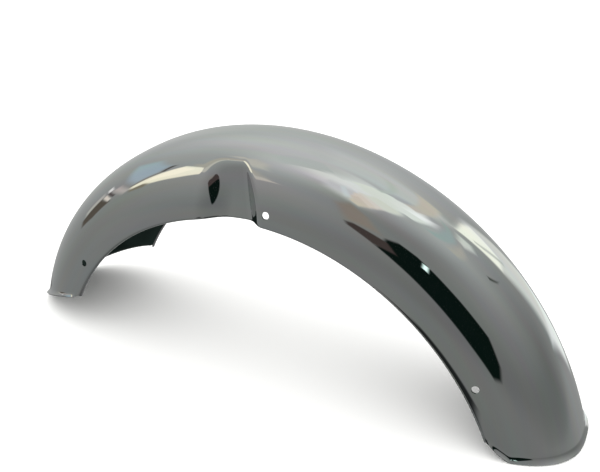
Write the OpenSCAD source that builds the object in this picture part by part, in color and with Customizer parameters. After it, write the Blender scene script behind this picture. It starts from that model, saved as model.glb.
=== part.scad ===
// Front mudguard for a motorcycle: one pressed and chrome plated steel sheet.
// It stands on both ends as it would on a bench, with the rear end towards +X.
// Z is up, Y is across, and the origin lies on the floor midway between the ends.

/* [Arc] */
// Outside radius of the crown at the top of the arc
crown_radius = 350; // [320:1:380]
// How far the arc opens to the rear and closes to the front, in mm per cubed radian
arc_opening = 6.4; // [0:0.2:8]
// Height of the two end cuts above the wheel axle
end_height = 82; // [60:1:95]

/* [Section] */
// Half of the width across the side walls
half_width = 80; // [72:0.5:88]
// Depth from the crown to the lower edge
side_depth = 77.5; // [68:0.5:86]
// Squareness of the section across the width, where 2 is an ellipse
crown_power = 2.75; // [2.2:0.05:3.4]
// Squareness of the section down the side wall, where 2 is an ellipse
wall_power = 1.74; // [1.6:0.02:2.2]
// Thickness of the sheet
sheet = 1.5; // [0.8:0.1:1.6]
// Outside radius of the roll along each lower edge
roll_radius = 3; // [2.4:0.1:4]
// How far the lower edge is rolled inwards
roll_turn = 150; // [90:5:160]

/* [Ends] */
// Angle from the top of the arc to the front corner of each side wall
front_corner_angle = 62.6; // [58:0.2:66]
// Slant of the rear end at its two corners
rear_slant = 3.6; // [1:0.2:6]
// Height of that slant above the lower edge
rear_slant_rise = 20; // [12:1:40]
// Radius of the four corners
corner_radius = 8; // [4:0.5:12]
// Width of the lip turned out along each end
lip_width = 8; // [5:0.5:11]
// How far the lip stands out
lip_height = 3.2; // [1:0.2:4]

/* [Fork recess] */
// Depth of the recess at the lower edge
recess_depth = 11; // [6:0.5:14]
// Height at which the recess floor meets the wall, above the lower edge
recess_top = 60; // [54:1:66]
// Radius of the front upper corner of the recess
recess_corner = 20; // [8:1:30]
// Distance of the middle of the recess ahead of the top of the arc
recess_place = 29; // [20:1:50]
// Width of the recess along the lower edge
recess_width = 69; // [60:1:80]
// Run of the front flank for each mm of depth
front_flank_run = 1.7; // [1.2:0.1:2.4]
// Run of the rear flank for each mm of depth
rear_flank_run = 1.2; // [0.9:0.1:1.8]
// Softness of the fillet between the front flank and the floor of the recess
recess_fillet = 6; // [4:1:16]
// Softness of the bend that leads into the recess at the front
front_bend = 6; // [4:1:16]
// Softness of the tighter bends along the rear of the recess
rear_bend = 4; // [3:0.5:8]

/* [Stay holes] */
// Diameter of the stay holes
hole_d = 8; // [5:0.5:10]
// Angle of the middle stay holes behind the top of the arc
hole_middle = 2.5; // [1.5:0.1:3]
// Angle between one stay hole and the next
hole_pitch = 55.8; // [50:0.2:57]
// Height of the holes above the lower edge
hole_rise = 15.4; // [10:0.2:20]

/* [Hidden] */

hole_angles = [for (i = [-1 : 1]) hole_middle + i * hole_pitch];
edge_radius = crown_radius - side_depth;
degree = 180 / PI;

// Counts of points: round the roll, up each half of the section, and along the arc
roll_steps = 4;
half_steps = 14;
lip_steps = 4;
front_steps = 13;
recess_steps = 23;
rear_steps = 18;

// Angles between which the end cuts stop slanting the rows of points
front_blend = -20;
rear_blend = 10;

// Smaller or larger of two lengths, with the corner between them rounded off
function soft_min(a, b, k) = let (h = max(k - abs(a - b), 0) / k) min(a, b) - h * h * k / 4;
function soft_max(a, b, k) = -soft_min(-a, -b, k);
function smooth(t) = let (c = min(max(t, 0), 1)) c * c * (3 - 2 * c);
function spread(a, b, n) = [for (i = [0 : n - 1]) a + (b - a) * i / n];
function unit(v) = v / norm(v);

// Radius from the axle of a point that lies r above the lower edge
function arc_radius(angle, r) = edge_radius + r + arc_opening * pow(angle / degree, 3);

// Angle at which the crown meets the level end cut, found by repeated substitution
function level_angle(r, side, turns = 5, angle = 75) = turns == 0 ? angle
    : level_angle(r, side, turns - 1, acos(end_height / arc_radius(side * angle, r)));

// Rounding of a corner, as the length that it takes off at a distance from its end
function corner_cut(gap, radius) =
    radius - sqrt(pow(radius, 2) - pow(max(radius - max(gap, 0), 0), 2));
function corner_angle(r) = corner_cut(r, corner_radius) / edge_radius * degree;

front_crown_angle = level_angle(side_depth, -1);
rear_crown_angle = level_angle(side_depth, 1);

// End cuts: the front one slants evenly from crown to corner, the rear one is level
function front_end(r) = corner_angle(r) - front_corner_angle
    - (front_crown_angle - front_corner_angle) * r / side_depth;
function rear_end(r) = level_angle(r, 1) - corner_angle(r)
    - rear_slant * max(0, 1 - r / rear_slant_rise);

// Half width of the section at a height r above the lower edge
function wall_y(r) = half_width * pow(max(0, 1 - pow(r / side_depth, wall_power)), 1 / crown_power);

// Section as [height, half width, height where the wall is measured], from roll to crown
first_angle = asin(pow(roll_radius / side_depth, wall_power / 2));
roll_points = [for (a = spread(roll_turn, 0, roll_steps))
    [roll_radius * (1 - sin(a)), wall_y(roll_radius) - roll_radius * (1 - cos(a)), roll_radius]];
wall_points = [for (a = spread(first_angle, 90, half_steps))
    let (r = side_depth * pow(sin(a), 2 / wall_power)) [r, wall_y(r), r]];
half_section = concat(roll_points, wall_points);
half_count = len(half_section);
section = concat(
    [for (p = half_section) [p.x, -p.y, p.z]],
    [[side_depth, 0, side_depth]],
    [for (i = [half_count - 1 : -1 : 0]) half_section[i]]);

recess_front = -recess_place - recess_width / 2;
recess_rear = -recess_place + recess_width / 2;
floor_edge = half_width - recess_depth;
floor_slope = (floor_edge - wall_y(recess_top)) / recess_top;

// Inner limit of a half width y, which presses the fork recess into both side walls
function recess_limit(x, z, y) =
    let (rise = z - edge_radius,
         floor_y = floor_edge - rise * floor_slope,
         front_y = y - (x - recess_front - corner_cut(recess_top - rise, recess_corner)) / front_flank_run,
         rear_y = half_width + (x - recess_rear) / rear_flank_run)
    soft_max(soft_max(floor_y, front_y, recess_fillet), rear_y, rear_bend);
function bend_at(x) = rear_bend
    + (front_bend - rear_bend) * smooth((-recess_place - x) / (recess_width / 2));
function recess_push(x, z, y) = y - soft_min(y, recess_limit(x, z, y), bend_at(x));

// Stations along the arc, closer together at the lips and in the recess
lip_angle = lip_width / crown_radius * degree;
recess_start = asin((recess_front - front_bend) / edge_radius);
recess_stop = asin((recess_rear + rear_bend) / edge_radius);
stations = concat(
    spread(-front_crown_angle, lip_angle - front_crown_angle, lip_steps),
    spread(lip_angle - front_crown_angle, recess_start, front_steps),
    spread(recess_start, recess_stop, recess_steps),
    spread(recess_stop, rear_crown_angle - lip_angle, rear_steps),
    spread(rear_crown_angle - lip_angle, rear_crown_angle, lip_steps),
    [rear_crown_angle]);

// Angle of a station at a height r, drawn towards the slanted end cuts near the ends
function row_angle(a, r) = a
    + smooth((front_blend - a) / (front_crown_angle + front_blend)) * (front_end(r) + front_crown_angle)
    + smooth((a - rear_blend) / (rear_crown_angle - rear_blend)) * (rear_end(r) - rear_crown_angle);

function plain_point(a, p) =
    let (angle = row_angle(a, p.z), radius = arc_radius(angle, p.x),
         x = radius * sin(angle), z = radius * cos(angle),
         wall_radius = arc_radius(angle, p.z),
         push = recess_push(wall_radius * sin(angle), wall_radius * cos(angle), wall_y(p.z)))
    [x, sign(p.y) * (abs(p.y) - push), z];

// Outward direction at each point of a grid, from its neighbours
function outward(grid) =
    let (rows = len(grid) - 1, columns = len(grid[0]) - 1)
    [for (i = [0 : rows]) [for (j = [0 : columns])
        let (along = grid[min(i + 1, rows)][j] - grid[max(i - 1, 0)][j],
             across = grid[i][min(j + 1, columns)] - grid[i][max(j - 1, 0)])
        unit(cross(along, across))]];

// Height of the lip at a point, which fades out in the roll
function lip_at(a, p) =
    let (angle = row_angle(a, p.z),
         gap = min(angle - front_end(p.z), rear_end(p.z) - angle) / degree * arc_radius(angle, p.z))
    lip_height * pow(max(0, 1 - gap / lip_width), 2) * smooth((p.z - roll_radius) / corner_radius);

plain = [for (a = stations) [for (p = section) plain_point(a, p)]];
plain_out = outward(plain);
row_count = len(stations);
column_count = len(section);
outer = [for (i = [0 : row_count - 1]) [for (j = [0 : column_count - 1])
    plain[i][j] + plain_out[i][j] * lip_at(stations[i], section[j])]];
outer_out = outward(outer);
inner = [for (i = [0 : row_count - 1]) [for (j = [0 : column_count - 1])
    outer[i][j] - outer_out[i][j] * sheet]];
skin_points = concat([for (row = outer) each row], [for (row = inner) each row]);

// The floor lies under the lowest point, and the origin midway between the ends
floor_z = min([for (p = skin_points) p.z]);
middle_x = (min([for (p = skin_points) p.x]) + max([for (p = skin_points) p.x])) / 2;
axle = [-middle_x, 0, -floor_z];

// Number of a point in the outer skin (side 0) or the inner skin (side 1)
function at(i, j, side) = (side * row_count + i) * column_count + j;
function quad(a, b, c, d) = [[a, b, c], [a, c, d]];

skin_faces = [for (i = [0 : row_count - 2]) for (j = [0 : column_count - 2]) each concat(
    quad(at(i, j, 0), at(i, j + 1, 0), at(i + 1, j + 1, 0), at(i + 1, j, 0)),
    quad(at(i, j, 1), at(i + 1, j, 1), at(i + 1, j + 1, 1), at(i, j + 1, 1)))];
end_faces = [for (j = [0 : column_count - 2]) each concat(
    quad(at(0, j, 0), at(0, j, 1), at(0, j + 1, 1), at(0, j + 1, 0)),
    quad(at(row_count - 1, j, 0), at(row_count - 1, j + 1, 0),
         at(row_count - 1, j + 1, 1), at(row_count - 1, j, 1)))];
edge_faces = [for (i = [0 : row_count - 2]) each concat(
    quad(at(i, 0, 0), at(i + 1, 0, 0), at(i + 1, 0, 1), at(i, 0, 1)),
    quad(at(i, column_count - 1, 0), at(i, column_count - 1, 1),
         at(i + 1, column_count - 1, 1), at(i + 1, column_count - 1, 0)))];

module pressed_sheet() {
    polyhedron(points = skin_points, faces = concat(skin_faces, end_faces, edge_faces));
}

// Drill through both side walls at once
module stay_hole(angle) {
    radius = arc_radius(angle, hole_rise);
    translate([radius * sin(angle), 0, radius * cos(angle)])
        rotate([90, 0, 0])
            cylinder(d = hole_d, h = 3 * half_width, center = true, $fn = 64);
}

module mudguard() {
    color("silver")
        translate(axle)
            difference() {
                pressed_sheet();
                for (angle = hole_angles) {
                    stay_hole(angle);
                }
            }
}

mudguard();
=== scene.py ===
from math import degrees, hypot, pi, radians

import bpy
from mathutils import Matrix, Vector


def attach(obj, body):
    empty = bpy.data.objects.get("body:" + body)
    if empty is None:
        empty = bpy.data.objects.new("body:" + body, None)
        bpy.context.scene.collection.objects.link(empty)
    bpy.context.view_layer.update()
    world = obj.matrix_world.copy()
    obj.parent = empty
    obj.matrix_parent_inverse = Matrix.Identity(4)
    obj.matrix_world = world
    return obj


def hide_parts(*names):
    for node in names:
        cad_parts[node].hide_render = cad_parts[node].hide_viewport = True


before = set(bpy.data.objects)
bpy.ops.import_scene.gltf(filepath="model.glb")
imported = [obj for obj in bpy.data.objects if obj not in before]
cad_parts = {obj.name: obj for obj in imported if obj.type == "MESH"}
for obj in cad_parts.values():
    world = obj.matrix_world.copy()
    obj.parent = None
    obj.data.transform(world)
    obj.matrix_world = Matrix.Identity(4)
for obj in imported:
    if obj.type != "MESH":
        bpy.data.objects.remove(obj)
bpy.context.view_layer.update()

mm = 0.001

# Camera: its place, which way is right and up in the picture, and its lens and sensor in mm
cameraSetup = {
    "place": (0.359148, -0.790817, 0.575852),
    "right": (0.90134426, 0.43089364, 0.04369435),
    "up": (-0.22497185, 0.37959859, 0.89738095),
    "lens": 51.576,
    "sensor": 36.0,
}


def addCamera(setup):
    data = bpy.data.cameras.new("camera")
    data.lens = setup["lens"]
    data.sensor_width = setup["sensor"]
    right, up = Vector(setup["right"]), Vector(setup["up"])
    back = right.cross(up)
    camera = bpy.data.objects.new("camera", data)
    turn = Matrix((right, up, back)).transposed().to_4x4()
    camera.matrix_world = Matrix.Translation(setup["place"]) @ turn
    bpy.context.scene.collection.objects.link(camera)
    bpy.context.scene.camera = camera


# Plain arithmetic on node sockets: each sum or product becomes a Math node
class Term:
    def __init__(self, tree, socket):
        self.tree = tree
        self.socket = socket

    def __add__(self, other):
        return calc("ADD", self, other)

    def __sub__(self, other):
        return calc("SUBTRACT", self, other)

    def __mul__(self, other):
        return calc("MULTIPLY", self, other)

    def __truediv__(self, other):
        return calc("DIVIDE", self, other)

    def __pow__(self, other):
        return calc("POWER", self, other)

    def __rsub__(self, other):
        return calc("SUBTRACT", other, self)

    def __rtruediv__(self, other):
        return calc("DIVIDE", other, self)

    def __neg__(self):
        return calc("MULTIPLY", self, -1.0)


def calc(operation, *values):
    tree = next(v.tree for v in values if isinstance(v, Term))
    node = tree.nodes.new("ShaderNodeMath")
    node.operation = operation
    plug(tree, node.inputs, values)
    return Term(tree, node.outputs[0])


def plug(tree, sockets, values):
    for socket, value in zip(sockets, values):
        if isinstance(value, Term):
            tree.links.new(value.socket, socket)
        elif value is not None:
            socket.default_value = value


# From 0 at start to 1 at stop, and held there outside
def ramp(value, start, stop, kind="LINEAR"):
    node = value.tree.nodes.new("ShaderNodeMapRange")
    node.interpolation_type = kind
    plug(value.tree, node.inputs, (value, start, stop, 0.0, 1.0))
    return Term(value.tree, node.outputs[0])


# From the first colour (0) to the second (1)
def mixColour(share, first, second, kind="MIX"):
    tree = next(v.tree for v in (share, first, second) if isinstance(v, Term))
    node = tree.nodes.new("ShaderNodeMix")
    node.data_type = "RGBA"
    node.blend_type = kind
    plug(tree, (node.inputs[0], node.inputs[6], node.inputs[7]), (share, first, second))
    return Term(tree, node.outputs[2])


def noise(tree, spot, scale, output="Fac"):
    node = addNode(tree, "ShaderNodeTexNoise", spot)
    node.inputs["Scale"].default_value = scale
    return outOf(node, output)


# Smaller or larger of two lengths, with the corner between them rounded off
def softMin(a, b, bend):
    near = calc("MAXIMUM", bend - calc("ABSOLUTE", a - b), 0.0) / bend
    return calc("MINIMUM", a, b) - near * near * bend * 0.25


def softMax(a, b, bend):
    return -softMin(-a, -b, bend)


def addNode(tree, kind, *values, **settings):
    node = tree.nodes.new(kind)
    for name, value in settings.items():
        setattr(node, name, value)
    plug(tree, node.inputs, values)
    return node


def outOf(node, name):
    return Term(node.id_data, node.outputs[name])


# Spread the nodes out in columns, each to the right of all that feeds it
def layOut(tree, columnWidth=190, rowHeight=170):
    depth = {node.name: 0 for node in tree.nodes}
    for turn in range(len(tree.nodes)):
        moved = False
        for link in tree.links:
            wanted = depth[link.from_node.name] + 1
            if depth[link.to_node.name] < wanted:
                depth[link.to_node.name] = wanted
                moved = True
        if not moved:
            break
    filled = {}
    for node in tree.nodes:
        column = depth[node.name]
        filled[column] = filled.get(column, 0) + 1
        node.location = (column * columnWidth, -filled[column] * rowHeight)


guardSizes = {
    "Crown Radius": 350 * mm,
    "Arc Opening": 6.4 * mm,
    "End Height": 82 * mm,
    "Half Width": 80 * mm,
    "Side Depth": 77.5 * mm,
    "Crown Power": 2.75,
    "Wall Power": 1.74,
    "Sheet": 1.5 * mm,
    "Roll Radius": 3 * mm,
    "Roll Turn": radians(150),
    "Front Corner": radians(62.6),
    "Rear Slant": radians(3.6),
    "Rear Slant Rise": 20 * mm,
    "Corner Radius": 8 * mm,
    "Lip Width": 8 * mm,
    "Lip Height": 3.2 * mm,
    "Recess Depth": 11 * mm,
    "Recess Top": 60 * mm,
    "Recess Corner": 20 * mm,
    "Recess Place": 29 * mm,
    "Recess Width": 69 * mm,
    "Front Flank Run": 1.7,
    "Rear Flank Run": 1.2,
    "Recess Fillet": 6 * mm,
    "Front Bend": 6 * mm,
    "Rear Bend": 4 * mm,
    "Hole Diameter": 8 * mm,
    "Hole Middle": radians(2.5),
    "Hole Pitch": radians(55.8),
    "Hole Rise": 15.4 * mm,
    "Hole Sides": 64,
    "Front Blend": radians(-20),
    "Rear Blend": radians(10),
    "Roll Steps": 8,
    "Wall Steps": 56,
    "Lip Steps": 10,
    "Front Steps": 60,
    "Recess Steps": 110,
    "Rear Steps": 90,
    "Weld Distance": 0.001 * mm,
}


def sheetTree(sizes):
    tree = bpy.data.node_groups.new("pressedSheet", "GeometryNodeTree")
    for name, value in sizes.items():
        kind = "NodeSocketInt" if isinstance(value, int) else "NodeSocketFloat"
        tree.interface.new_socket(name, in_out="INPUT", socket_type=kind).default_value = value
    tree.interface.new_socket("Material", in_out="INPUT", socket_type="NodeSocketMaterial")
    tree.interface.new_socket("Geometry", in_out="OUTPUT", socket_type="NodeSocketGeometry")
    given = tree.nodes.new("NodeGroupInput")
    size = {name: outOf(given, name) for name in sizes}

    edgeRadius = size["Crown Radius"] - size["Side Depth"]

    def arcRadius(angle, rise):
        return edgeRadius + rise + size["Arc Opening"] * angle ** 3

    def wallWidthAt(rise):
        share = (rise / size["Side Depth"]) ** size["Wall Power"]
        return size["Half Width"] * calc("MAXIMUM", 1 - share, 0.0) ** (1 / size["Crown Power"])

    # What a rounded corner takes off at a distance from its end
    def cornerCut(gap, radius):
        left = calc("MAXIMUM", radius - calc("MAXIMUM", gap, 0.0), 0.0)
        return radius - calc("SQRT", radius ** 2 - left ** 2)

    # Where the sheet meets the level end cut, found by repeated substitution
    def levelAngle(rise, side, turns=5, angle=radians(75)):
        for turn in range(turns):
            angle = calc("ARCCOSINE", size["End Height"] / arcRadius(angle * side, rise))
        return angle

    # Section: from the rolled edge (0) over the crown to the other rolled edge (1)
    midSteps = size["Front Steps"] + size["Recess Steps"] + size["Rear Steps"]
    allSteps = size["Lip Steps"] * 2 + midSteps
    halfSteps = size["Roll Steps"] + size["Wall Steps"]
    gridNode = addNode(tree, "GeometryNodeMeshGrid", 1.0, 1.0, allSteps + 1, halfSteps * 2 + 1)
    places = addNode(tree, "ShaderNodeSeparateXYZ", outOf(gridNode, "UV Map"))
    alongSheet, acrossSheet = outOf(places, "X"), outOf(places, "Y") * 2 - 1
    side = calc("SIGN", acrossSheet)
    inwards = 1 - calc("ABSOLUTE", acrossSheet)
    rollShare = size["Roll Steps"] / halfSteps
    rollAngle = size["Roll Turn"] * (1 - ramp(inwards, 0.0, rollShare))
    rollDepth = size["Roll Radius"] / size["Side Depth"]
    firstAngle = calc("ARCSINE", rollDepth ** (size["Wall Power"] * 0.5))
    wallAngle = firstAngle + (pi / 2 - firstAngle) * ramp(inwards, rollShare, 1.0)
    wallRise = size["Side Depth"] * calc("SINE", wallAngle) ** (2 / size["Wall Power"])
    wallShare = calc("MAXIMUM", calc("COSINE", wallAngle), 0.0) ** (2 / size["Crown Power"])
    wallWidth = size["Half Width"] * wallShare
    rise = wallRise - size["Roll Radius"] * calc("SINE", rollAngle)
    width = wallWidth - size["Roll Radius"] * (1 - calc("COSINE", rollAngle))

    # End cuts, with their rounded corners
    cornerAngle = cornerCut(wallRise, size["Corner Radius"]) / edgeRadius
    frontCrown = levelAngle(size["Side Depth"], -1)
    rearCrown = levelAngle(size["Side Depth"], 1)
    frontSlant = (frontCrown - size["Front Corner"]) * wallRise / size["Side Depth"]
    frontEnd = cornerAngle - size["Front Corner"] - frontSlant
    rearSlant = size["Rear Slant"] * calc("MAXIMUM", 1 - wallRise / size["Rear Slant Rise"], 0.0)
    rearEnd = levelAngle(wallRise, 1) - cornerAngle - rearSlant

    # Stations along the arc, close together at the lips and in the fork recess
    lipAngle = size["Lip Width"] / size["Crown Radius"]
    recessFront = -size["Recess Place"] - size["Recess Width"] * 0.5
    recessRear = size["Recess Width"] * 0.5 - size["Recess Place"]
    recessStart = calc("ARCSINE", (recessFront - size["Front Bend"]) / edgeRadius)
    recessStop = calc("ARCSINE", (recessRear + size["Rear Bend"]) / edgeRadius)
    stops = (
        ("Lip Steps", lipAngle - frontCrown),
        ("Front Steps", recessStart),
        ("Recess Steps", recessStop),
        ("Rear Steps", rearCrown - lipAngle),
        ("Lip Steps", rearCrown),
    )
    station, reached, done = -frontCrown, -frontCrown, 0.0
    for steps, stop in stops:
        nextDone = size[steps] / allSteps + done
        station = station + (stop - reached) * ramp(alongSheet, done, nextDone)
        reached, done = stop, nextDone

    toFront = ramp(station, size["Front Blend"], -frontCrown, "SMOOTHSTEP")
    toRear = ramp(station, size["Rear Blend"], rearCrown, "SMOOTHSTEP")
    angle = station + toFront * (frontEnd + frontCrown) + toRear * (rearEnd - rearCrown)

    # Fork recess: an inner limit of the half width
    wallRadius = arcRadius(angle, wallRise)
    wallX, wallZ = wallRadius * calc("SINE", angle), wallRadius * calc("COSINE", angle)
    recessRise = wallZ - edgeRadius
    floorEdge = size["Half Width"] - size["Recess Depth"]
    floorLean = floorEdge - wallWidthAt(size["Recess Top"])
    floorY = floorEdge - recessRise * floorLean / size["Recess Top"]
    frontCut = cornerCut(size["Recess Top"] - recessRise, size["Recess Corner"])
    frontY = wallWidth - (wallX - recessFront - frontCut) / size["Front Flank Run"]
    rearY = size["Half Width"] + (wallX - recessRear) / size["Rear Flank Run"]
    limit = softMax(softMax(floorY, frontY, size["Recess Fillet"]), rearY, size["Rear Bend"])
    atFront = ramp(wallX, -size["Recess Place"], recessFront, "SMOOTHSTEP")
    bend = size["Rear Bend"] + (size["Front Bend"] - size["Rear Bend"]) * atFront
    push = wallWidth - softMin(wallWidth, limit, bend)

    radius = arcRadius(angle, rise)
    place = addNode(tree, "ShaderNodeCombineXYZ", radius * calc("SINE", angle),
                    side * (width - push), radius * calc("COSINE", angle))
    plainSheet = addNode(tree, "GeometryNodeSetPosition", outOf(gridNode, "Mesh"), None,
                         outOf(place, "Vector"))

    # Lip: the last few millimetres at each end turn outwards
    gap = calc("MINIMUM", angle - frontEnd, rearEnd - angle) * wallRadius
    lip = size["Lip Height"] * calc("MAXIMUM", 1 - gap / size["Lip Width"], 0.0) ** 2
    aboveRoll = (wallRise - size["Roll Radius"]) / size["Corner Radius"]
    lip = lip * ramp(aboveRoll, 0.0, 1.0, "SMOOTHSTEP")
    outward = addNode(tree, "GeometryNodeInputNormal")
    lipMove = addNode(tree, "ShaderNodeVectorMath", outOf(outward, "Normal"), operation="SCALE")
    plug(tree, (lipMove.inputs["Scale"],), (lip,))
    outerSkin = addNode(tree, "GeometryNodeSetPosition", outOf(plainSheet, "Geometry"), None,
                        None, outOf(lipMove, "Vector"))

    # Thickness: a second skin one sheet further in, joined round the rim
    innerSkin = addNode(tree, "GeometryNodeExtrudeMesh", outOf(outerSkin, "Geometry"), mode="FACES")
    plug(tree, (innerSkin.inputs["Offset Scale"], innerSkin.inputs["Individual"]),
         (-size["Sheet"], False))
    turned = addNode(tree, "GeometryNodeFlipFaces", outOf(innerSkin, "Mesh"))
    bothSkins = addNode(tree, "GeometryNodeJoinGeometry")
    for skin in (outOf(turned, "Mesh"), outOf(outerSkin, "Geometry")):
        tree.links.new(skin.socket, bothSkins.inputs[0])
    closed = addNode(tree, "GeometryNodeMergeByDistance", outOf(bothSkins, "Geometry"), None,
                     size["Weld Distance"])

    # Stay holes, drilled through both walls at once: one ahead of the middle one and one behind
    holeCount = 3
    number = addNode(tree, "GeometryNodeInputIndex")
    holeAngle = size["Hole Middle"] + (outOf(number, "Index") - 1) * size["Hole Pitch"]
    holeRadius = arcRadius(holeAngle, size["Hole Rise"])
    holePlace = addNode(tree, "ShaderNodeCombineXYZ", holeRadius * calc("SINE", holeAngle), 0.0,
                        holeRadius * calc("COSINE", holeAngle))
    holePoints = addNode(tree, "GeometryNodePoints", holeCount, outOf(holePlace, "Vector"))
    drill = addNode(tree, "GeometryNodeMeshCylinder", size["Hole Sides"], 1, 1,
                    size["Hole Diameter"] * 0.5, size["Half Width"] * 3)
    drills = addNode(tree, "GeometryNodeInstanceOnPoints", outOf(holePoints, "Points"), None,
                     outOf(drill, "Mesh"))
    drills.inputs["Rotation"].default_value = (pi / 2, 0, 0)
    loose = addNode(tree, "GeometryNodeRealizeInstances", outOf(drills, "Instances"))
    drilled = addNode(tree, "GeometryNodeMeshBoolean", outOf(closed, "Geometry"),
                      outOf(loose, "Geometry"), operation="DIFFERENCE", solver="MANIFOLD")

    # How far through the sheet each point lies, from the outer skin (0) to the inner one (1)
    near = addNode(tree, "GeometryNodeProximity", outOf(outerSkin, "Geometry"),
                   target_element="FACES")
    marked = addNode(tree, "GeometryNodeStoreNamedAttribute", outOf(drilled, "Mesh"), None,
                     "insideShare", outOf(near, "Distance") / size["Sheet"])

    # The floor lies under the lowest point, and the origin midway between the ends
    limits = addNode(tree, "GeometryNodeBoundBox", outOf(marked, "Geometry"))
    low = addNode(tree, "ShaderNodeSeparateXYZ", outOf(limits, "Min"))
    high = addNode(tree, "ShaderNodeSeparateXYZ", outOf(limits, "Max"))
    middle = (outOf(low, "X") + outOf(high, "X")) * -0.5
    standing = addNode(tree, "ShaderNodeCombineXYZ", middle, 0.0, -outOf(low, "Z"))
    onFloor = addNode(tree, "GeometryNodeSetPosition", outOf(marked, "Geometry"), None, None,
                      outOf(standing, "Vector"))
    real = addNode(tree, "GeometryNodeRealizeInstances", outOf(onFloor, "Geometry"))
    finished = addNode(tree, "GeometryNodeSetMaterial", outOf(real, "Geometry"), None,
                       outOf(given, "Material"))
    result = tree.nodes.new("NodeGroupOutput")
    tree.links.new(finished.outputs[0], result.inputs[0])
    layOut(tree)
    return tree


# Bends of the mesh sharper than sharpAngle stay edges, and the rest is shaded smooth
def makeSheet(sizes, material, sharpAngle=radians(35)):
    tree = sheetTree(sizes)
    holder = bpy.data.objects.new("sheetHolder", bpy.data.meshes.new("sheetHolder"))
    bpy.context.scene.collection.objects.link(holder)
    modifier = holder.modifiers.new("pressedSheet", "NODES")
    modifier.node_group = tree
    wanted = dict(sizes, Material=material)
    for item in tree.interface.items_tree:
        if item.in_out == "INPUT":
            modifier[item.identifier] = wanted[item.name]
    shaped = holder.evaluated_get(bpy.context.evaluated_depsgraph_get())
    mesh = bpy.data.meshes.new_from_object(shaped)
    holder.modifiers.remove(modifier)
    bpy.data.objects.remove(holder)
    mesh.name = "chromeGuard"
    mesh.shade_smooth()
    mesh.set_sharp_from_angle(angle=sharpAngle)
    guard = bpy.data.objects.new("chromeGuard", mesh)
    bpy.context.scene.collection.objects.link(guard)
    return guard


chromeLook = {
    "brightColour": (0.60, 0.622, 0.615, 1.0),
    "insidePlatingAndShade": (0.05, 0.08, 0.07, 1.0),  # thin dull plating on the inner skin, darkened further as painted shade
    "roughness": 0.02,
    "insideRoughness": 0.3,  # added on the inner skin
    "insideSpan": (0.3, 0.7),  # the part of the thickness where one skin changes to the other
    "hazeRoughness": 0.025,  # added where the polish is thinnest
    "hazeScale": 13,
    "hazeSpan": (0.4, 0.75),  # noise values where the haze begins and where it is full
    "arcMiddle": (-15.6 * mm, -81.3 * mm),  # where the arc is struck from, as X and Z
    "streakScale": 80,  # faint lines along the arc, left by the buffing wheel
    "streakReach": 2.5,
    "streakShare": 0.13,
    "waveScale": 9,  # slow waves left by the press
    "waveHeight": 0.3 * mm,
}


def chromeMaterial(look):
    material = bpy.data.materials.new("chromePlate")
    material.use_nodes = True
    tree = material.node_tree
    shader = tree.nodes["Principled BSDF"]
    shader.inputs["Metallic"].default_value = 1.0
    spot = outOf(tree.nodes.new("ShaderNodeTexCoord"), "Object")
    depth = addNode(tree, "ShaderNodeAttribute", attribute_name="insideShare")
    inside = ramp(outOf(depth, "Fac"), *look["insideSpan"])

    # Colour: faint lines along the arc outside, and inside dull plating darkened with painted shade
    axes = addNode(tree, "ShaderNodeSeparateXYZ", spot)
    middleX, middleZ = look["arcMiddle"]
    x, z = outOf(axes, "X") - middleX, outOf(axes, "Z") - middleZ
    radius = calc("SQRT", x * x + z * z)
    angle = calc("ARCTAN2", x, z)
    lines = addNode(tree, "ShaderNodeCombineXYZ", radius * look["streakScale"],
                    outOf(axes, "Y") * look["streakScale"], angle * look["streakReach"])
    tint = noise(tree, outOf(lines, "Vector"), 1.0, "Color")
    bright = mixColour(look["streakShare"], look["brightColour"], tint, "OVERLAY")
    # The inner skin gets painted shade: its colour is darker than dull plating alone would be
    colour = mixColour(inside, bright, look["insidePlatingAndShade"])

    # Gloss: soft patches of haze, and a duller inner skin
    haze = ramp(noise(tree, spot, look["hazeScale"]), *look["hazeSpan"], "SMOOTHSTEP")
    rough = inside * look["insideRoughness"] + haze * look["hazeRoughness"] + look["roughness"]

    waves = noise(tree, spot, look["waveScale"]) * look["waveHeight"]
    bump = addNode(tree, "ShaderNodeBump")
    bump.inputs["Distance"].default_value = 1.0
    plug(tree, (bump.inputs["Height"],), (waves,))
    plug(tree, (shader.inputs["Base Color"], shader.inputs["Roughness"], shader.inputs["Normal"]),
         (colour, rough, outOf(bump, "Normal")))
    layOut(tree)
    return material


floorLook = {
    "reach": 6.0,
    "colour": (0.93, 0.93, 0.925, 1.0),
    "roughness": 0.9,
}


# Plain pale floor, which the plating doesn't reflect
def addFloor(look):
    mesh = bpy.data.meshes.new("floor")
    reach = look["reach"]
    corners = [(-reach, -reach, 0), (reach, -reach, 0), (reach, reach, 0), (-reach, reach, 0)]
    mesh.from_pydata(corners, [], [(0, 1, 2, 3)])
    floor = bpy.data.objects.new("floor", mesh)
    bpy.context.scene.collection.objects.link(floor)
    material = bpy.data.materials.new("palePaper")
    material.use_nodes = True
    shader = material.node_tree.nodes["Principled BSDF"]
    shader.inputs["Base Color"].default_value = look["colour"]
    shader.inputs["Roughness"].default_value = look["roughness"]
    mesh.materials.append(material)
    floor.visible_glossy = False


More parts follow.
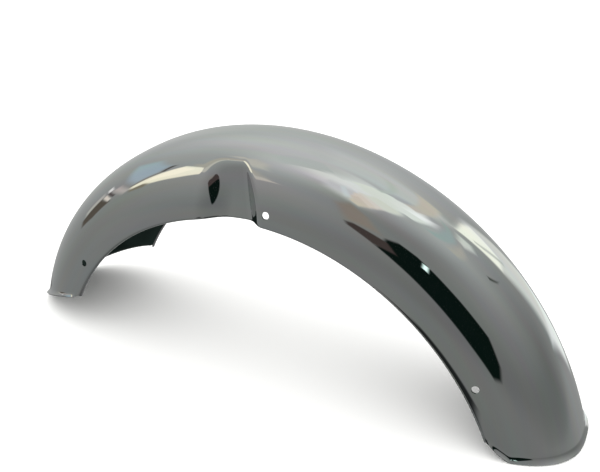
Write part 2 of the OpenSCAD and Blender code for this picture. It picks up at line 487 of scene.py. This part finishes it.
# What the plating reflects: cards and lamps round the stage. Corners give each one's outline, by
# compass direction from the back of the studio and by height, and soft the width of its edge, all
# in degrees
studioCards = (
    {"name": "back panel", "corners": ((-15, 30), (24, 31), (31, 44), (24, 62), (-15, 62)),
     "soft": 10, "light": (0.77, 0.79, 0.77)},
    {"name": "left roof", "corners": ((150, 68), (160, 62), (172, 57), (192, 64), (200, 78),
                                      (160, 78)),
     "soft": 12, "light": (0.78, 0.82, 0.81)},
    {"name": "upper left", "corners": ((246, 68), (300, 66), (335, 70), (330, 83), (265, 84),
                                       (252, 78)),
     "soft": 5, "light": (0.68, 0.71, 0.7)},
    {"name": "crown light", "corners": ((34, 64), (60, 64), (100, 72), (100, 84), (20, 84),
                                        (26, 74)),
     "soft": 3, "light": (1.06, 1.1, 1.0)},
    {"name": "warm wall", "corners": ((170, 34), (182, 30), (184, 46), (176, 54), (170, 46)),
     "soft": 6, "light": (0.34, 0.29, 0.25)},
    {"name": "front roof 1", "corners": ((96, 69), (142, 67.5), (150, 79), (96, 79)),
     "soft": 3, "light": (0.99, 1.02, 0.9)},
    {"name": "front roof 2", "corners": ((138, 68), (152, 64.3), (164, 71), (150, 79), (138, 79)),
     "soft": 3, "light": (1.0, 0.96, 0.85)},
    {"name": "front roof 3", "corners": ((150, 65), (162, 60.5), (173, 65), (164, 75), (150, 77)),
     "soft": 3, "light": (0.97, 0.9, 0.77)},
    {"name": "front roof 4", "corners": ((160, 61.5), (171, 55.5), (175, 59), (172, 68), (162, 71)),
     "soft": 3, "light": (0.87, 0.8, 0.67)},
    {"name": "cyan strip", "corners": ((173, 64), (178, 62), (181, 76), (173, 79)),
     "soft": 5, "light": (0.84, 0.95, 0.94)},
    {"name": "roof light", "corners": ((35, 43), (48, 50.5), (62, 60), (78, 66), (62, 73),
                                       (38, 66)),
     "soft": 6, "light": (1.12, 1.13, 1.05)},
    {"name": "roof glow", "corners": ((43, 50), (52, 54.5), (63, 61), (58, 66), (46, 60)),
     "soft": 7, "light": (1.34, 1.35, 1.3)},
    {"name": "roof corner", "corners": ((58, 58), (72, 62), (84, 65.5), (84, 72), (58, 68)),
     "soft": 3, "light": (1.1, 1.12, 1.05)},
    {"name": "green strip", "corners": ((4, 40), (8, 40), (34, 70), (30, 71)),
     "soft": 4, "light": (0.7, 0.75, 0.69)},
    {"name": "pink strip", "corners": ((10, 30), (17, 28), (42, 57), (37, 60)),
     "soft": 3, "light": (0.8, 0.73, 0.63)},
    {"name": "teal strip", "corners": ((28, 37), (33, 37.5), (55, 46), (80, 57), (80, 61),
                                       (50, 50)),
     "soft": 3, "light": (0.47, 0.57, 0.55)},
    {"name": "beige strip", "corners": ((48, 41), (62, 43), (82, 48), (82, 53), (60, 47)),
     "soft": 4, "light": (0.6, 0.57, 0.51)},
    {"name": "low window", "corners": ((8, -9), (12, -21), (20, -19), (30.5, -7), (27, -4)),
     "soft": 4, "light": (1.12, 1.16, 1.14)},
    {"name": "window", "corners": ((10, -9), (13, 4), (16, 18), (24.5, 29), (28.5, 12), (29.5, -6)),
     "soft": 4, "light": (0.93, 0.94, 0.9)},
    {"name": "window lamp", "corners": ((17.5, 17), (18.5, 21), (25, 28.5), (28, 12), (24, 11)),
     "soft": 2, "light": (1.36, 1.36, 1.22)},
    {"name": "window bar", "corners": ((23.2, 20), (24.2, 20), (25.2, 10), (24.2, 10)),
     "soft": 1.2, "light": (0.7, 0.72, 0.68)},
    {"name": "small screen", "corners": ((31, 33), (40, 38.5), (45, 38), (38, 30), (32, 28)),
     "soft": 4, "light": (0.92, 0.94, 0.86)},
    {"name": "dark stand", "corners": ((47, 24.5), (57, 32.5), (59, 32), (50, 26)),
     "soft": 1.6, "light": (0.06, 0.07, 0.06)},
    {"name": "black door", "corners": ((135.5, 13), (139, 2.5), (144.5, -4), (150.5, -6.5),
                                       (157, -1.5), (176.5, 18.5), (168, 32), (161, 36), (154, 34)),
     "soft": 2, "light": (0.004, 0.01, 0.008)},
    {"name": "brown door edge", "corners": ((169, 22), (177, 19), (183, 24.5), (183, 27.5),
                                            (180, 29.5), (169, 28.5)),
     "soft": 2, "light": (0.075, 0.058, 0.055)},
    {"name": "door lamp", "corners": ((151.5, 30.5), (153.5, 31), (157, 26.5), (155.5, 25.5)),
     "soft": 1.6, "light": (1.5, 1.9, 1.8)},
    {"name": "table end", "corners": ((177, -28), (187, -22.5), (196, -27), (204, -40), (196, -41),
                                      (184, -34)),
     "soft": 3, "light": (0.02, 0.022, 0.022)},
    {"name": "table foot", "corners": ((146, -31), (160, -33.5), (170, -38), (170, -56),
                                       (148, -58)),
     "soft": 2, "light": (0.02, 0.022, 0.022)},
    {"name": "stool", "corners": ((264, -25), (302, -25), (308, -60), (258, -60)),
     "soft": 3, "light": (0.03, 0.033, 0.033)},
    {"name": "tan screen", "corners": ((212, 41), (238, 31), (246, 36), (236, 44), (222, 46)),
     "soft": 5, "light": (0.58, 0.54, 0.47)},
    {"name": "cream glow", "corners": ((222, 52), (234, 60), (250, 59), (252, 50), (236, 48)),
     "soft": 6, "light": (0.72, 0.69, 0.61)},
    {"name": "cream screen", "corners": ((226, 34.5), (230, 37), (247, 32.5), (251.5, 12),
                                         (248, 11.5), (236, 22)),
     "soft": 2, "light": (1.32, 1.24, 1.0)},
    {"name": "cream core", "corners": ((239, 32), (246.5, 31), (248.5, 20), (247, 17), (240, 24)),
     "soft": 2, "light": (1.5, 1.36, 1.1)},
    {"name": "cream corner", "corners": ((206, 38.5), (213, 40.5), (222, 39), (229, 34.5),
                                         (224, 33), (214, 35.5)),
     "soft": 2, "light": (0.72, 0.68, 0.6)},
    {"name": "blue screen", "corners": ((253, 15), (252, 24), (256, 29.5), (272, 28), (282, 18),
                                        (262, 15)),
     "soft": 5, "light": (0.5, 0.61, 0.68)},
    {"name": "screen edge", "corners": ((249.8, 26), (251.3, 25), (252.8, 12), (251.5, 12)),
     "soft": 1.2, "light": (0.3, 0.28, 0.25)},
    {"name": "screen hook", "corners": ((253.5, 31.5), (255, 30), (251.5, 24.5), (250, 25.5)),
     "soft": 1.2, "light": (0.12, 0.11, 0.1)},
    {"name": "pale haze", "corners": ((250, 12), (262, 12), (264, 9), (251, 9)),
     "soft": 3, "light": (0.66, 0.6, 0.58)},
    {"name": "brown corner", "corners": ((243.5, 16), (246.5, 15.5), (249.5, 11), (247.5, 10),
                                         (243.5, 13)),
     "soft": 2, "light": (0.3, 0.26, 0.2)},
    {"name": "pale block", "corners": ((266, 6), (271, 6), (271, -2), (267, -3)),
     "soft": 2, "light": (0.62, 0.6, 0.56)},
    {"name": "brown block", "corners": ((255, 5), (266, 4.5), (267, -4.5), (262, -6), (257, -2)),
     "soft": 2, "light": (0.13, 0.11, 0.09)},
    {"name": "block glint", "corners": ((257, 6.3), (265, 6.6), (265, 5), (257, 4.8)),
     "soft": 1.2, "light": (1.0, 0.9, 0.82)},
    {"name": "block line", "corners": ((257, 8.2), (266, 8.2), (266, 7), (257, 7)),
     "soft": 1.2, "light": (0.14, 0.12, 0.12)},
    {"name": "pale glint", "corners": ((265.5, 9.5), (270.5, 9.5), (270, 7.5), (266, 7.5)),
     "soft": 1.4, "light": (1.1, 1.08, 1.05)},
)

# Light on each side of the studio, as pairs of height in degrees and brightness. It fades with the
# compass direction away from "at"
studioWalls = (
    {"name": "back", "at": 332,
     "light": ((-90, 0.12), (-30, 0.4), (-12, 0.56), (0, 0.6), (14, 0.61), (30, 0.7), (46, 0.76),
               (62, 0.75), (74, 0.74), (83, 0.84), (90, 1.0))},
    {"name": "right", "at": 62,
     "light": ((-90, 0.12), (-30, 0.27), (-17, 0.3), (-8, 0.22), (0, 0.2), (14, 0.26), (30, 0.37),
               (46, 0.5), (52, 0.56), (62, 0.59), (65, 0.58), (70, 0.94), (78, 1.1), (90, 1.12))},
    {"name": "front", "at": 152,
     "light": ((-90, 0.08), (-30, 0.22), (-12, 0.24), (0, 0.21), (14, 0.24), (30, 0.27), (46, 0.28),
               (58, 0.38), (66, 0.49), (71, 0.9), (79, 1.06), (90, 1.1))},
    {"name": "left", "at": 242,
     "light": ((-90, 0.12), (-30, 0.28), (-12, 0.29), (0, 0.31), (14, 0.36), (30, 0.44), (46, 0.5),
               (62, 0.66), (72, 0.79), (80, 0.98), (90, 1.1))},
)


studioLight = {
    "wallTint": (0.985, 1.0, 0.985),
    "openLight": (1.7, 1.7, 1.68, 1.0),  # what lights the floor
    "backdrop": (1.0, 1.0, 0.99, 1.0),  # what the camera sees past the floor
}


# Brightness at a height, along a smooth curve through the stops, which run from -90 to 90
def heightRamp(height, stops):
    share = ramp(height, -90.0, 90.0)
    node = addNode(height.tree, "ShaderNodeFloatCurve", 1.0, share)
    points = node.mapping.curves[0].points
    top = max(light for at, light in stops)
    places = [((at + 90) / 180, light / top) for at, light in stops]
    for place in places[1:-1]:
        points.new(*place)
    points[0].location, points[-1].location = places[0], places[-1]
    for point in points:
        point.handle_type = "AUTO_CLAMPED"
    node.mapping.update()
    return outOf(node, "Value") * top


# 1 inside a card's outline and 0 outside, with a soft edge
def cardMask(compass, height, card):
    corners = card["corners"]
    middle = [sum(corner[axis] for corner in corners) / len(corners) for axis in (0, 1)]
    across = calc("WRAP", compass - middle[0], 180.0, -180.0)
    inside = None
    for (x0, y0), (x1, y1) in zip(corners, corners[1:] + corners[:1]):
        length = hypot(x1 - x0, y1 - y0)
        turnX, turnY = (y1 - y0) / length, (x0 - x1) / length
        depth = (x0 - middle[0]) * turnX + (y0 - middle[1]) * turnY
        if depth < 0:
            turnX, turnY, depth = -turnX, -turnY, -depth
        flat = calc("MULTIPLY_ADD", height, -turnY, depth + middle[1] * turnY)
        distance = calc("MULTIPLY_ADD", across, -turnX, flat)
        inside = distance if inside is None else calc("MINIMUM", inside, distance)
    return ramp(inside, card["soft"] * -0.5, card["soft"] * 0.5, "SMOOTHSTEP")


# The cards and walls are seen in the plating only, and even light falls on the rest
def addWorld(look):
    world = bpy.data.worlds.new("studio")
    bpy.context.scene.world = world
    world.use_nodes = True
    tree = world.node_tree
    tree.nodes.clear()
    spot = addNode(tree, "ShaderNodeTexCoord")
    towards = addNode(tree, "ShaderNodeSeparateXYZ", outOf(spot, "Generated"))
    compass = calc("ARCTAN2", outOf(towards, "X"), outOf(towards, "Y")) * degrees(1)
    height = calc("ARCSINE", outOf(towards, "Z")) * degrees(1)
    grey = 0.0
    for wall in studioWalls:
        facing = calc("COSINE", (compass - wall["at"]) * radians(1))
        facing = calc("MAXIMUM", facing, 0.0) ** 2
        grey = facing * heightRamp(height, wall["light"]) + grey
    shade = addNode(tree, "ShaderNodeCombineColor", *(grey * tint for tint in look["wallTint"]))
    light = outOf(shade, "Color")
    for card in studioCards:
        light = mixColour(cardMask(compass, height, card), light, (*card["light"], 1.0))
    path = addNode(tree, "ShaderNodeLightPath")
    plain = mixColour(outOf(path, "Is Camera Ray"), look["openLight"], look["backdrop"])
    seen = mixColour(outOf(path, "Is Glossy Ray"), plain, light)
    back = addNode(tree, "ShaderNodeBackground", seen, 1.0)
    result = addNode(tree, "ShaderNodeOutputWorld")
    tree.links.new(back.outputs[0], result.inputs[0])
    layOut(tree)


addCamera(cameraSetup)
addFloor(floorLook)
addWorld(studioLight)
bpy.context.scene.view_settings.view_transform = "Standard"
print("stage ready")

guard = makeSheet(guardSizes, chromeMaterial(chromeLook))
print("chrome sheet:", len(guard.data.polygons), "faces")
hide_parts("mudguard")
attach(guard, "root")
